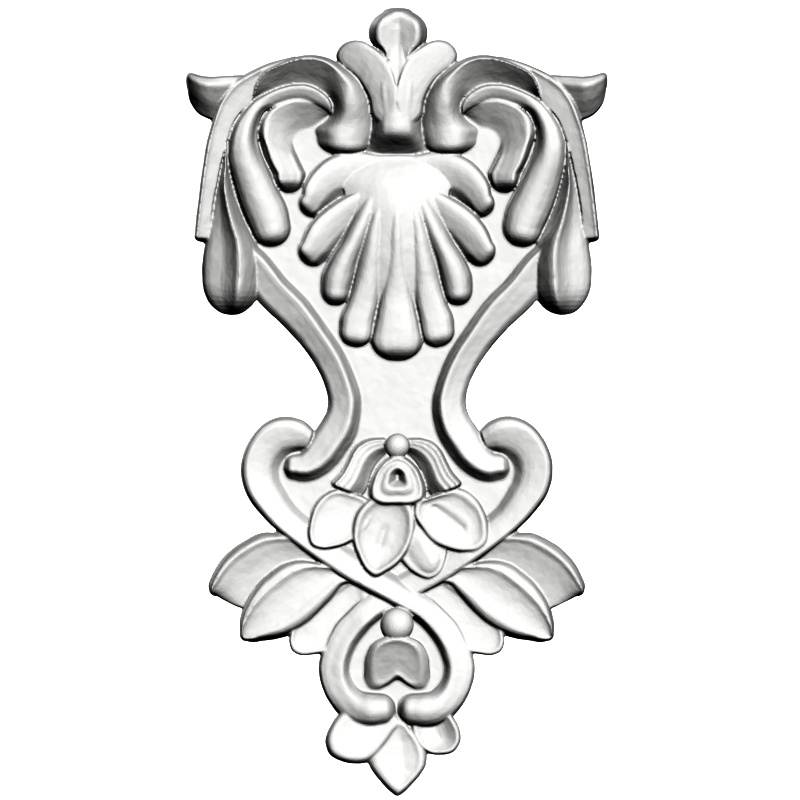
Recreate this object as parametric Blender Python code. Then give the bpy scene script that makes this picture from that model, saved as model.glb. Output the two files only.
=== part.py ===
"""A carved onlay: crossed scrolls, a shell, a hanging flower and leaves.

Metres, +Z up. The flat back lies on y = 0 and the carving stands out towards -Y.
The origin is on the back, midway up the onlay and on its middle line.

Every carved form is a stroke: a cross-section that runs along a curved middle line.
A stroke's stations are written in millimetres as they lie on the finished onlay:
(x, z, half width, crest height above the back, lean of the crest). A lean of -1 puts
the crest on the right-hand edge of the run, and +1 puts it on the left-hand edge.
"""

import math

import bmesh
import bpy
import numpy as np

# Driving dimensions, in metres.
ONLAY_HEIGHT = 0.315
GROUND_THICKNESS = 0.005

# The stations below were laid out for an onlay of this height, in millimetres.
LAID_OUT_HEIGHT = 315.0
UNIT = ONLAY_HEIGHT / LAID_OUT_HEIGHT

# A stroke's edges start just under the face of the sunk ground.
FOOT = GROUND_THICKNESS / UNIT - 0.5
# The ground runs on behind the back by this much and is trimmed there.
TUCK = 2.0
# The forms run on further, each a little further than the last, so that no two hidden
# faces coincide.
FORM_TUCK = 3.0
TUCK_STEP = 0.03

# Distance between two rings of a stroke, and the rings of a rounded end.
RING_SPACING = 7.0
END_RINGS = 3
# A rounded end stops just short of its pole, and falls off at this power of the cosine.
END_SWEEP = math.radians(80)
END_FALL = 0.7

RIGHT = 1
LEFT = -1
BOTH = (RIGHT, LEFT)

# Cross-sections: (place across, height), with the foot at 0 and the crest at 1.
# The place runs from -1 on the right-hand edge, through 0 at the crest, to 1.
DOME = [(-1, 0), (-0.86, 0.46), (-0.5, 0.86), (0, 1), (0.5, 0.86), (0.86, 0.46), (1, 0)]
STRAP = [(-1, 0), (-0.5, 0.56), (0, 1), (0.36, 0.94), (0.8, 0.56), (1, 0)]
RIBBON = [(-1, 0), (-0.8, 0.44), (-0.6, 0.76), (0, 1), (0.5, 0.9), (0.82, 0.52), (1, 0)]
HOLLOW = [(-1, 0), (-0.7, 0.6), (0, 1), (0.25, 0.76), (0.55, 0.38), (1, 0)]
CURLED = [(-1, 0), (-0.86, 0.4), (-0.3, 0.78), (0, 1), (0.5, 0.86), (1, 0)]
SCOOP = [(-1, 0), (-0.84, 0.42), (-0.35, 0.82), (0, 1), (0.4, 0.6), (0.84, 0.34), (1, 0)]
BAND = [(-1, 0), (-0.9, 0.6), (0, 1), (0.5, 0.88), (1, 0)]
GROOVED = [(-1, 0), (-0.84, 0.54), (-0.42, 1), (0, 0.88), (0.42, 1), (0.84, 0.54), (1, 0)]
DISHED = [(-1, 0), (-0.9, 0.75), (-0.66, 1), (0, 0.68), (0.66, 1), (0.9, 0.75), (1, 0)]
LEAF = [(-1, 0), (-0.94, 0.6), (0, 0.62), (0.72, 0.82), (0.86, 1), (1, 0)]
PETAL = [(-1, 0), (-0.86, 0.74), (-0.5, 0.97), (0.5, 1), (0.86, 0.76), (1, 0)]
FLUTED = [(-1, 0), (-0.88, 0.84), (-0.66, 1), (-0.36, 0.8), (-0.06, 1), (0.22, 0.8),
          (0.5, 1), (0.88, 0.8), (1, 0)]
BUD = [(-1, 0), (-0.9, 0.78), (-0.62, 0.7), (-0.3, 0.92), (0.3, 0.92), (0.62, 0.7),
       (0.9, 0.78), (1, 0)]
BOSS = [(-1, 0), (-0.74, 0.92), (0.2, 1), (0.8, 0.92), (1, 0)]


def through(rows, spacing):
    """Rows on a smooth curve through the given rows, about one spacing apart."""
    rows = np.asarray(rows, dtype=float)
    gaps = np.linalg.norm(np.diff(rows[:, :2], axis=0), axis=1)
    along = np.concatenate([[0.0], np.cumsum(gaps)])
    slopes = np.diff(rows, axis=0) / gaps[:, None]
    tangents = np.vstack([slopes[:1], slopes[-1:]])
    if len(rows) > 2:
        before, after = gaps[:-1, None], gaps[1:, None]
        middle = (slopes[:-1] * after + slopes[1:] * before) / (before + after)
        tangents = np.vstack([slopes[:1], middle, slopes[-1:]])
    count = max(2, round(along[-1] / spacing) + 1)
    curve = []
    for place in np.linspace(0.0, along[-1], count):
        i = min(np.searchsorted(along, place, side="right") - 1, len(gaps) - 1)
        s = (place - along[i]) / gaps[i]
        curve.append(
            (2 * s**3 - 3 * s**2 + 1) * rows[i]
            + (s**3 - 2 * s**2 + s) * gaps[i] * tangents[i]
            + (3 * s**2 - 2 * s**3) * rows[i + 1]
            + (s**3 - s**2) * gaps[i] * tangents[i + 1]
        )
    return curve


def rounded_end(row, direction, reach):
    """Rows that carry a stroke on from its last row to a rounded end."""
    rows = []
    for step in range(1, END_RINGS + 1):
        turn = END_SWEEP * step / END_RINGS
        end = row.copy()
        end[:2] += direction * reach * math.sin(turn)
        end[2] *= math.cos(turn)
        end[3] = FOOT + (row[3] - FOOT) * math.cos(turn) ** END_FALL
        rows.append(end)
    return rows


def ring(row, direction, section, side, tuck):
    """The closed ring of points that a stroke's cross-section makes at one row."""
    x, z, half_width, height, lean = row
    across = np.array([-direction[1], direction[0]])
    points = []
    for place, rise in section:
        offset = lean + place * (1 + lean if place < 0 else 1 - lean)
        px, pz = np.array([x, z]) + across * offset * half_width
        points.append((side * px * UNIT, -(FOOT + (height - FOOT) * rise) * UNIT, pz * UNIT))
    for px, _, pz in (points[-1], points[0]):
        points.append((px, tuck * UNIT, pz))
    return points


def skin(rings):
    """A closed mesh: the first ring is extruded from ring to ring and both ends are filled."""
    bm = bmesh.new()
    verts = [bm.verts.new(point) for point in rings[0]]
    bm.faces.new(verts)
    for points in rings[1:]:
        edges = [bm.edges.get((verts[i - 1], verts[i])) for i in range(len(verts))]
        made = bmesh.ops.extrude_edge_only(bm, edges=edges)["geom"]
        new = {item for item in made if isinstance(item, bmesh.types.BMVert)}
        verts = [
            next(edge.other_vert(old) for edge in old.link_edges if edge.other_vert(old) in new)
            for old in verts
        ]
        for vert, point in zip(verts, points):
            vert.co = point
    bm.faces.new(verts)
    bmesh.ops.recalc_face_normals(bm, faces=bm.faces)
    return bm


def stroke_mesh(section, stations, start, end, side, tuck):
    """One stroke as a closed mesh, with a rounded end where start or end gives its reach."""
    rows = through([(*station, 0.0)[:5] for station in stations], RING_SPACING)
    places = np.array([row[:2] for row in rows])
    directions = np.gradient(places, axis=0)
    directions = list(directions / np.linalg.norm(directions, axis=1)[:, None])
    if end:
        extra = rounded_end(rows[-1], directions[-1], end)
        rows += extra
        directions += [directions[-1]] * len(extra)
    if start:
        extra = rounded_end(rows[0], -directions[0], start)
        rows = extra[::-1] + rows
        directions = [directions[0]] * len(extra) + directions
    return skin([
        ring(row, direction, section, side, tuck) for row, direction in zip(rows, directions)
    ])


def finial():
    """The head, its stem down to the shell and the lobe on each side of the neck."""
    return [
        ("head", DISHED, [(0.2, 138.5, 8, 14), (0.2, 143, 11, 15.5), (0.2, 147, 11.6, 17)],
         0, 10.6, (RIGHT,)),
        ("stem", GROOVED, [(0.2, 143, 6, 13.5), (0.2, 138, 6.6, 14.5), (0, 130, 10, 14.5),
                           (0, 116, 10.4, 15), (0, 109, 11, 16.5), (0, 104, 11.8, 16)],
         0, 7.8, (RIGHT,)),
        ("side lobe", DOME, [(5, 126, 4, 13.5), (9.5, 132.5, 5.6, 13.5), (14, 136.6, 6.4, 13),
                             (17.2, 138.1, 6.6, 11.5, 0.2)], 0, 6.6, BOTH),
    ]


def hollow_scrolls():
    """The hollow C-shaped scroll and its round end, on each side of the finial."""
    return [
        ("scroll", HOLLOW, [(57.2, 121.5, 1.2, 11, -0.3), (54.9, 126, 3.4, 13, -0.6),
                            (50.4, 129.6, 5.2, 14.5, -0.7), (43.8, 131.8, 5.5, 15.5, -0.72),
                            (36.3, 132.6, 5.9, 16, -0.72), (29.6, 131.6, 6.3, 16, -0.6),
                            (24.4, 128.6, 6.7, 16, -0.3), (20, 123.9, 7.6, 15.5, 0),
                            (18.4, 117.5, 8.3, 13.5, 0.15), (18.6, 112.5, 8.8, 11.5, 0.1)],
         0, 3, BOTH),
        ("round end", DOME, [(19, 117, 8.6, 12), (21, 110.5, 10.6, 12.2), (21.4, 109, 11.2, 12)],
         0, 10.8, BOTH),
    ]


def side_lobes():
    """The curled leaf, the middle lobe, the drop-shaped lobe and the outer band with its tip."""
    return [
        ("curled leaf", CURLED, [(27.2, 118, 2.6, 12, 0.4), (31.5, 116.4, 5.2, 13.5, 0.6),
                                 (37.5, 114.9, 6.8, 15, 0.75), (42.7, 112.8, 7.6, 15.5, 0.78),
                                 (46.3, 109.2, 7.9, 16, 0.78), (47.8, 104.8, 7.8, 16.5, 0.78),
                                 (47.2, 100, 8, 17, 0.74), (45, 95.4, 8.2, 17.5, 0.6),
                                 (43.3, 91, 7.8, 17.5, 0.35)], 2.4, 8, BOTH),
        ("middle lobe", DOME, [(29.5, 122, 2.6, 11), (34, 123.6, 3.1, 13), (40.5, 124, 3.2, 14),
                               (46.8, 123.2, 3, 14), (51.3, 121.2, 3.1, 14.5),
                               (55.4, 117.6, 3.9, 15.5), (59.4, 111.4, 5.5, 17, 0.2),
                               (61.3, 105, 6.3, 16.5, 0.25), (60.9, 97.5, 7, 15.8, 0.25),
                               (58.9, 89, 7.8, 15, 0.2), (55.8, 81.2, 8.6, 15, 0.15),
                               (52.4, 74, 8.9, 15.5, 0.1), (50.6, 69.6, 8.5, 15.2)], 0, 8.6, BOTH),
        ("drop lobe", SCOOP, [(68.4, 106, 0.6, 13), (69.4, 95, 2, 14.5), (69.7, 87, 3.4, 16),
                              (69.4, 80, 5, 17.8, -0.16), (68.4, 71, 7.6, 19.8, -0.33),
                              (66.4, 62.5, 10.5, 21.8, -0.31), (65.8, 54, 12.2, 22.7, -0.3),
                              (66, 47.5, 12, 21.5, -0.2), (66.3, 45, 11.4, 20.5, -0.1)],
         0, 10.9, BOTH),
        ("outer band", BAND, [(54.5, 131.4, 1.8, 11, 0.5), (61, 125.2, 4.4, 13, 0.7),
                              (66.3, 119.5, 5, 15, 0.7), (70, 112.6, 4.3, 15.5, 0.7),
                              (72.5, 104.8, 3.7, 15, 0.7), (74.4, 96.5, 3.2, 14, 0.7),
                              (76.3, 85.3, 3, 13, 0.7), (77.9, 74.8, 2.8, 12.3, 0.7),
                              (79.3, 64, 2.5, 11.5, 0.7)], 0, 0, BOTH),
        ("curled tip", DOME, [(65, 119.6, 8, 13), (70.5, 122.2, 10.4, 16, 0.1),
                              (76.5, 125, 7.9, 18, 0.2), (81.4, 128.6, 4, 15)], 0, 2.6, BOTH),
    ]


def shell():
    """The shell: a low dome with one lobe in the middle and four on each side."""
    return [
        ("shell body", DOME, [(0, 96, 18, 9), (0, 90, 25, 11.5), (0, 77, 27, 15),
                              (0, 64, 21, 16.6), (0, 52, 16, 15.6), (0, 42, 11, 12.4)], 3, 5,
         (RIGHT,)),
        ("middle shell lobe", DOME, [(0, 80, 5, 13.5), (0, 66, 5, 17), (0, 55, 5, 17.8),
                                     (0, 46, 6, 15.5), (0, 38, 7.6, 12.8), (0, 31, 9.4, 12.6),
                                     (0, 25.5, 10.8, 13.6)], 0, 10.4, (RIGHT,)),
        ("first shell lobe", DOME, [(11, 94.5, 4.8, 8.5), (19.5, 92.8, 6.6, 10.2),
                                    (26.6, 88, 7.4, 13.5), (31, 82, 7.6, 17)], 2, 7.8, BOTH),
        ("second shell lobe", DOME, [(10, 84, 4.5, 13), (19, 77.5, 6.6, 13.8),
                                     (26.6, 70, 7.4, 13.4), (31.8, 61.6, 7.6, 14.5)],
         0, 7.4, BOTH),
        ("third shell lobe", DOME, [(8, 82, 4, 14.5), (15.4, 68.5, 6.2, 15.8),
                                    (20.2, 58, 7.2, 16), (24, 46.6, 7.6, 15.6)], 0, 8.4, BOTH),
        ("fourth shell lobe", DOME, [(5, 78, 3.6, 15), (9.2, 60, 5.4, 16.8),
                                     (11.4, 48, 6.2, 15.4), (13.8, 38, 6.9, 13),
                                     (15.6, 31, 7.5, 13.2)], 0, 9.4, BOTH),
    ]


def straps():
    """The S-shaped strap on each side of the ground, hooked at its lower end."""
    return [
        ("strap", STRAP, [(63.5, 59.8, 7.3, 13.5, -0.72), (49.6, 44.8, 7.5, 14, -0.65),
                          (39.7, 35, 7.2, 14, -0.5), (32.2, 25.9, 6.6, 14, -0.42),
                          (26.3, 16.8, 6.5, 14, -0.4), (22.4, 8, 6.5, 14, -0.38),
                          (20.6, 0, 6.9, 14, -0.38), (21.1, -6, 7.2, 14, -0.36),
                          (23.4, -12, 7.6, 13.8, -0.34), (27, -18, 7.6, 13.4, -0.3),
                          (31.8, -23.6, 7.1, 13, -0.26), (36.9, -26.4, 6.3, 12.8, -0.2),
                          (40.8, -26.6, 5.4, 12.2, -0.1)], 0, 4.8, BOTH),
    ]


def ribbons():
    """The two scroll ribbons. They cross, the left one on top, and end in a round loop."""
    head = [(35.5, -15.4, 4.9, 10.5, 0.2), (40, -14, 6.9, 12, 0.3), (44.4, -14, 8, 12.6, 0.45),
            (48.4, -15.8, 8.3, 12.8, 0.6), (52.2, -19.6, 7.9, 13, 0.65),
            (54.3, -25, 7.8, 13, 0.65), (54.2, -30, 7.7, 13, 0.65), (52.9, -34.4, 7.5, 13, 0.65),
            (49.9, -39.4, 7, 13, 0.65), (44.7, -45.8, 6.4, 13, 0.65),
            (35.8, -53.3, 6.3, 13, 0.65), (26.4, -60.1, 6.2, 13, 0.6)]
    loop = [(-14.6, -86.8, 5.7, 12.5, 0.4), (-19.2, -92.2, 6.1, 12.4, 0.4),
            (-22.8, -99, 6.2, 12.4, 0.42), (-24.6, -105.6, 6.3, 12.4, 0.42),
            (-23.8, -112.2, 6.2, 12.2, 0.36), (-20.6, -118.2, 6.1, 12.2, 0.3),
            (-15.2, -122.4, 6.5, 12.4, 0.1), (-10.3, -123.2, 6.7, 13), (-7, -123.2, 6.6, 12.8)]
    over = [(17, -66.5, 6, 14, 0.6), (7.3, -71.9, 6, 14.5, 0.6), (-2.8, -77.8, 5.9, 14.2, 0.6),
            (-10, -82.6, 5.7, 13.2, 0.5)]
    under = [(17, -66.5, 6, 12, 0.6), (7.3, -71.9, 6, 10.5, 0.6), (-2.8, -77.8, 5.9, 10.5, 0.6),
             (-10, -82.6, 5.7, 11.6, 0.5)]
    return [
        ("upper ribbon", RIBBON, head + over + loop, 1, 6.6, (LEFT,)),
        ("lower ribbon", RIBBON, head + under + loop, 1, 6.2, (RIGHT,)),
    ]


def leaves():
    """Three rimmed leaves that lie one over the next outside each ribbon."""
    return [
        ("top leaf", LEAF, [(34, -60.4, 6, 8), (42, -59.4, 6.6, 9.4), (50, -60.4, 8, 10.2),
                            (56, -63, 8.8, 10.8), (61, -67.2, 9, 11.4),
                            (65.6, -72.8, 8.9, 12), (68.2, -77.4, 8.2, 12)], 0, 3, BOTH),
        ("middle leaf", LEAF, [(22, -70, 6.4, 10), (33, -73.4, 11, 11.5),
                               (42, -77.6, 12.8, 12), (48.6, -82.6, 12.4, 12.4),
                               (54, -87.2, 10.4, 12.8), (58.4, -90.6, 7, 13)], 0, 2.8, BOTH),
        ("bottom leaf", LEAF, [(20, -76, 5, 8), (26.6, -84, 6.6, 9.5), (32.6, -91, 8.6, 10.2),
                               (36, -95.8, 8.6, 10.5)], 0, 5, BOTH),
    ]


def flower():
    """The hanging flower: bead, draped collar, bud and four petals."""
    return [
        ("collar", FLUTED, [(3.6, -17.8, 3, 11), (10, -18.4, 4, 11.8), (14.6, -22.8, 5.2, 12),
                            (18, -28, 5.8, 12.4), (20.4, -32.6, 5.2, 12.6)], 0, 3.4, BOTH),
        ("bud", BUD, [(0.4, -25, 5.4, 14.5), (0.4, -30, 9, 16.4), (0.5, -36.6, 11.3, BUD_HEIGHT)],
         3.6, 5, (RIGHT,)),
        ("left petal", PETAL, [(-13, -38.4, 6, 9.6), (-19.6, -44, 10, 11.4),
                               (-25.2, -48.6, 10.8, 12.4)], 0, 9.6, (RIGHT,)),
        ("rear petal", PETAL, [(9, -52, 8, 8.8), (11.8, -59, 8, 9.6), (13, -64, 6.4, 10)],
         0, 7, (RIGHT,)),
        ("right petal", PETAL, [(11, -39, 5.5, 11), (18.6, -45.8, 10, 12.4),
                                (25.6, -51, 10.2, 13.6)], 0, 10.4, (RIGHT,)),
        ("middle petal", PETAL, [(-3, -40, 7.6, 12.4), (-5, -47, 11.2, 13), (-5.6, -54, 12, 13.2),
                                 (-7.4, -61.5, 8.4, 13.2)], 0, 8.2, (RIGHT,)),
    ]


def boss():
    """The heart-shaped boss inside the loop, one half at a time."""
    return [
        ("boss half", BOSS, [(4.2, -99.6, 6, 11), (5.8, -105, 6.8, 9.8), (6.6, -109.4, 6, 8.6)],
         5.4, 6, BOTH),
    ]


def bottom_drop():
    """The three petals that hang below the loop."""
    return [
        ("right drop petal", PETAL, [(10, -125, 6, 9), (15.4, -131, 7.6, 9.6),
                                     (18.2, -134, 7.2, 10)], 0, 6.6, (RIGHT,)),
        ("middle drop petal", PETAL, [(1, -127, 9, 9.6), (1, -137, 12, 10.6),
                                      (0.6, -143.6, 12, 10.8), (0.2, -150.6, 8, 10.4)],
         0, 7.2, (RIGHT,)),
        ("left drop petal", PETAL, [(-8, -124, 9, 10.6), (-14, -130.6, 12, 11.6),
                                    (-17.8, -134.4, 11.6, 12)], 0, 10.4, (RIGHT,)),
    ]


# The beads: (name, x, z, centre height above the back, radius).
BEADS = [("upper bead", 0.1, -17.9, 8.4, 5.3), ("lower bead", 0.1, -89.8, 8.0, 6.6)]
BEAD_SEGMENTS = 20
BEAD_RINGS = 10

# The hollow in the bud: (x, z), its half width, half height and depth, and the share of
# its width that it loses towards its top.
BUD_HEIGHT = 17
BUD_HOLLOW_PLACE = (0.4, -29.8)
BUD_HOLLOW_SIZE = (2.9, 3.6, 4.2)
BUD_HOLLOW_NARROWING = 0.55

# Half of the sunk ground's outline, which stays hidden under the carved forms.
GROUND_OUTLINE = [(0, 138), (7, 134), (16, 131), (25, 129), (37, 132), (50, 129), (62, 127),
                  (70, 128), (74, 118), (74, 100), (77, 80), (74, 48), (61, 52), (42, 36),
                  (31, 22), (22, 5), (22, -6), (31, -12.5), (40, -13), (51, -18), (55, -30),
                  (46, -46), (36, -57), (48, -64), (44, -78), (30, -86), (23, -96),
                  (26, -106), (21, -117), (12, -124), (12, -132), (0, -142)]


def stroke_forms():
    """Every stroke of the onlay, as (name, section, stations, start, end, sides)."""
    return (finial() + hollow_scrolls() + side_lobes() + shell() + straps() + ribbons()
            + leaves() + flower() + boss() + bottom_drop())


def bead_mesh(x, z, height, radius):
    """A ball that sits in the carving."""
    bm = bmesh.new()
    bmesh.ops.create_uvsphere(
        bm, u_segments=BEAD_SEGMENTS, v_segments=BEAD_RINGS, radius=radius * UNIT)
    bmesh.ops.translate(bm, vec=(x * UNIT, -height * UNIT, z * UNIT), verts=bm.verts)
    return bm


def ground_mesh():
    """The sunk ground, extruded from its outline on both sides of the middle line."""
    bm = bmesh.new()
    outline = GROUND_OUTLINE + [(-x, z) for x, z in GROUND_OUTLINE[-2:0:-1]]
    verts = [bm.verts.new((x * UNIT, TUCK * UNIT, z * UNIT)) for x, z in outline]
    face = bm.faces.new(verts)
    made = bmesh.ops.extrude_face_region(bm, geom=[face], use_keep_orig=True)["geom"]
    front = [item for item in made if isinstance(item, bmesh.types.BMVert)]
    bmesh.ops.translate(bm, vec=(0, -TUCK * UNIT - GROUND_THICKNESS, 0), verts=front)
    bmesh.ops.recalc_face_normals(bm, faces=bm.faces)
    return bm


def hollow_mesh():
    """The cutter for the small hollow in the bud, pointed at its top."""
    bm = bmesh.new()
    bmesh.ops.create_uvsphere(bm, u_segments=BEAD_SEGMENTS, v_segments=BEAD_RINGS, radius=1)
    half_width, half_height, depth = BUD_HOLLOW_SIZE
    for vert in bm.verts:
        vert.co.x *= half_width * UNIT * (1 - BUD_HOLLOW_NARROWING * max(vert.co.z, 0))
        vert.co.y *= depth * UNIT
        vert.co.z *= half_height * UNIT
    x, z = BUD_HOLLOW_PLACE
    bmesh.ops.translate(bm, vec=(x * UNIT, -BUD_HEIGHT * UNIT, z * UNIT), verts=bm.verts)
    return bm


def trimmer_mesh():
    """A block whose front face is the onlay's flat back."""
    bm = bmesh.new()
    bmesh.ops.create_cube(bm, size=1)
    bmesh.ops.translate(bm, vec=(0, 0.5, 0), verts=bm.verts)
    bmesh.ops.scale(bm, vec=(2 * ONLAY_HEIGHT,) * 3, verts=bm.verts)
    return bm


def new_object(name, bm, collection):
    """Turn a bmesh into a named object in a collection."""
    mesh = bpy.data.meshes.new(name)
    bm.to_mesh(mesh)
    bm.free()
    thing = bpy.data.objects.new(name, mesh)
    collection.objects.link(thing)
    return thing


def guide(name, bm, collection):
    """An object that only shapes another one and is left out of the onlay itself."""
    thing = new_object(name, bm, collection)
    thing.hide_render = True
    thing.display_type = "WIRE"
    return thing


def new_collection(name):
    """A collection of guides in the scene."""
    collection = bpy.data.collections.new(name)
    bpy.context.scene.collection.children.link(collection)
    return collection


def gesso():
    """Off-white primer on carved wood."""
    material = bpy.data.materials.new("white_gesso")
    material.use_nodes = True
    shader = material.node_tree.nodes["Principled BSDF"]
    shader.inputs["Base Color"].default_value = (0.86, 0.86, 0.85, 1)
    shader.inputs["Roughness"].default_value = 0.6
    shader.inputs["Metallic"].default_value = 0.0
    return material


def build():
    """Join every form to the sunk ground and trim the whole flat at the back."""
    for thing in list(bpy.data.objects):
        bpy.data.objects.remove(thing)

    forms = new_collection("carved_forms")
    count = 0
    for name, section, stations, start, end, sides in stroke_forms():
        for side in sides:
            count += 1
            tuck = FORM_TUCK + count * TUCK_STEP
            bm = stroke_mesh(section, stations, start, end, side, tuck)
            guide(name, bm, forms)
    for name, x, z, height, radius in BEADS:
        guide(name, bead_mesh(x, z, height, radius), forms)
    cutters = new_collection("cutters")
    guide("bud_hollow", hollow_mesh(), cutters)
    guide("back_trimmer", trimmer_mesh(), cutters)

    onlay = new_object("carved_onlay", ground_mesh(), bpy.context.scene.collection)
    onlay.data.materials.append(gesso())
    join = onlay.modifiers.new("join_forms", "BOOLEAN")
    join.operation = "UNION"
    join.operand_type = "COLLECTION"
    join.collection = forms
    cut = onlay.modifiers.new("cut_hollow_and_back", "BOOLEAN")
    cut.operation = "DIFFERENCE"
    cut.operand_type = "COLLECTION"
    cut.collection = cutters


build()
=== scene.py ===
"""Looks of a carved onlay: crossed scrolls, a shell, a hanging flower and leaves.

Metres, +Z up. The flat back lies on y = 0 and the carving stands out towards -Y.
Stations of the carved forms are in millimetres, as they lie on the onlay at its own size.
"""

import math

import bmesh
import bpy
import numpy as np
from mathutils import Matrix, Vector


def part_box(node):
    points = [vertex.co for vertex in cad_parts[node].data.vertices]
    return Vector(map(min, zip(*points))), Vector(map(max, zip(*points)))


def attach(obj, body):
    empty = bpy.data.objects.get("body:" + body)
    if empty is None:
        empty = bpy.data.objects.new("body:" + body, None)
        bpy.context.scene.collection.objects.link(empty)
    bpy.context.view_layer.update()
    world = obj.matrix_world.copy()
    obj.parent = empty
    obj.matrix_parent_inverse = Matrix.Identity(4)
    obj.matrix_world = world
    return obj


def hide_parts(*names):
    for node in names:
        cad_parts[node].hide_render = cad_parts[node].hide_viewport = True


bl_info = {
    "name": "Carved onlay",
    "version": (1, 0, 0),
    "blender": (4, 5, 0),
    "location": "3D View > Sidebar > Onlay",
    "description": "Carves a drop onlay out of its packed solid and sets it up for a picture",
    "category": "Object",
}

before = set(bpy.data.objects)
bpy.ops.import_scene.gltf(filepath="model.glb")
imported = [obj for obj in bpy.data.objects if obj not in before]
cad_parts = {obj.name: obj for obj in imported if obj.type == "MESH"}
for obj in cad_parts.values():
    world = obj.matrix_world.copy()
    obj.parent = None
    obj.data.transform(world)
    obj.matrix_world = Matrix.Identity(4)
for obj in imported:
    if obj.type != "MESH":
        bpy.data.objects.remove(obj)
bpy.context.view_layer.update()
SOLID = "carved_onlay"
LOW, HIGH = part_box(SOLID)

# The stations below were laid out for a solid of this height, in millimetres.
LAID_OUT_HEIGHT = 315.2
UNIT = (HIGH.z - LOW.z) / LAID_OUT_HEIGHT

# The face of the sunk ground, and the level just under it where the forms start.
GROUND = 5.0
FOOT = 4.4
# Every form runs on behind the back by about this much and is trimmed there.
TUCK = 3.0

# Distance between the rings of a run, and the points across it.
RING_SPACING = 1.1
POINTS_ACROSS = 30
# Rings of a rounded end, and how far round its quarter turn they go.
END_RINGS = 9
END_SWEEP = math.radians(86)
# Points round a mound, rings from its edge inwards, how closely they crowd at the edge, and
# the share of the way to the spine at which the last ring closes it.
MOUND_POINTS = 120
MOUND_RINGS = 22
MOUND_CROWDING = 1.5
MOUND_REACH = 0.98
# Limits on a section: its height as a share of the crest's, and a wall's of the width.
HIGHEST_RISE = 1.2
WIDEST_WALL = 0.4
# A length below this counts as none, and a corner this near the back's plane lies on it.
TINY = 1e-6
ON_THE_BACK = 1e-7
# How a rounded end drops to the ground: (steepness, roundness of its upper edge).
SOFT_END = (0.1, 3.6)
WALLED_END = (2.5, 1.6)

# A form is carved as it was laid out, as its mirror image, or both.
AS_LAID = 1
MIRRORED = -1
ONCE = (AS_LAID,)
BOTH = (AS_LAID, MIRRORED)

# Widths of the gesso's thicker patches, of its tooth and of the paper's cloudiness, and the
# tooth's depth, in metres.
PATCH_WIDTH = 0.009
TOOTH_WIDTH = 0.0005
TOOTH_DEPTH = 0.00002
PULP_WIDTH = 0.040
GESSO_ROUGHNESS = (0.66, 0.84)
PAPER_ROUGHNESS = (0.85, 0.95)

# The stage, in metres. Both papers glow a little, so that they stay even and pale.
PAPER_SIZE = 8.0
FLOOR_GAP = 0.012
BACKDROP_DISTANCE = 3.0
FLOOR_GLOW = 0.35
BACKDROP_GLOW = 0.3
# Where the two lights come from, as seen from the onlay, and how wide each looks.
KEY_DIRECTION = (0.2123, -1.0238, 0.367)
BACK_DIRECTION = (-0.35, 1.0, 0.2)
SUN_WIDTH = math.radians(2)
# The picture's tone curve, which keeps the slopes dark and the level ground nearly white.
PICTURE_GAMMA = 0.4


def smooth_rows(rows, places, along):
    """Rows read at the given places on a smooth cubic through rows that lie at along."""
    rows = np.asarray(rows, dtype=float)
    along = np.asarray(along, dtype=float)
    gaps = np.diff(along)
    slopes = np.diff(rows, axis=0) / gaps[:, None]
    tangents = np.vstack([slopes[:1], slopes[-1:]])
    if len(rows) > 2:
        before, after = gaps[:-1, None], gaps[1:, None]
        middle = (slopes[:-1] * after + slopes[1:] * before) / (before + after)
        tangents = np.vstack([slopes[:1], middle, slopes[-1:]])
    span = np.clip(np.searchsorted(along, places, side="right") - 1, 0, len(gaps) - 1)
    gap = gaps[span][:, None]
    s = (np.asarray(places)[:, None] - along[span][:, None]) / gap
    return (
        (2 * s**3 - 3 * s**2 + 1) * rows[span]
        + (s**3 - 2 * s**2 + s) * gap * tangents[span]
        + (3 * s**2 - 2 * s**3) * rows[span + 1]
        + (s**3 - s**2) * gap * tangents[span + 1]
    )


def section_curve(knots):
    """A smooth cross-section through its knots: places across and heights."""
    knots = np.asarray(knots, dtype=float)
    places = np.sin(np.linspace(-math.pi / 2, math.pi / 2, POINTS_ACROSS))
    heights = smooth_rows(knots[:, 1:], places, knots[:, 0])[:, 0]
    return places, np.clip(heights, 0, HIGHEST_RISE)


def spaced_rows(rows, middle):
    """Rows read at even steps of about RING_SPACING along their middle line."""
    steps = np.linalg.norm(np.diff(middle, axis=0), axis=1)
    along = np.concatenate([[0.0], np.cumsum(steps)])
    count = max(3, round(along[-1] / RING_SPACING) + 1)
    return smooth_rows(rows, np.linspace(0, along[-1], count), along)


# A station's last three values are the crest's height above the back, its lean, which is its
# place across as in the cross-sections below, and its mix, which is how far the form has gone
# from its first cross-section to its next. Lean and mix are 0 where they are left out.
def run_rows(stations):
    """Rings for a run along a middle line: stations (x, z, half width, crest, lean, mix)."""
    rows = np.array([(*station, 0.0, 0.0)[:6] for station in stations])
    curve = spaced_rows(rows, rows[:, :2])
    heading = np.gradient(curve[:, :2], axis=0)
    heading /= np.linalg.norm(heading, axis=1)[:, None]
    across = np.stack([-heading[:, 1], heading[:, 0]], axis=1)
    left = curve[:, :2] + across * curve[:, 2:3]
    right = curve[:, :2] - across * curve[:, 2:3]
    return np.hstack([left, right, curve[:, 3:]])


def blade_rows(stations):
    """Rings between two edges: stations (left x, left z, right x, right z, crest, lean, mix)."""
    rows = np.array([(*station, 0.0, 0.0)[:7] for station in stations])
    return spaced_rows(rows, (rows[:, 0:2] + rows[:, 2:4]) / 2)


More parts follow.
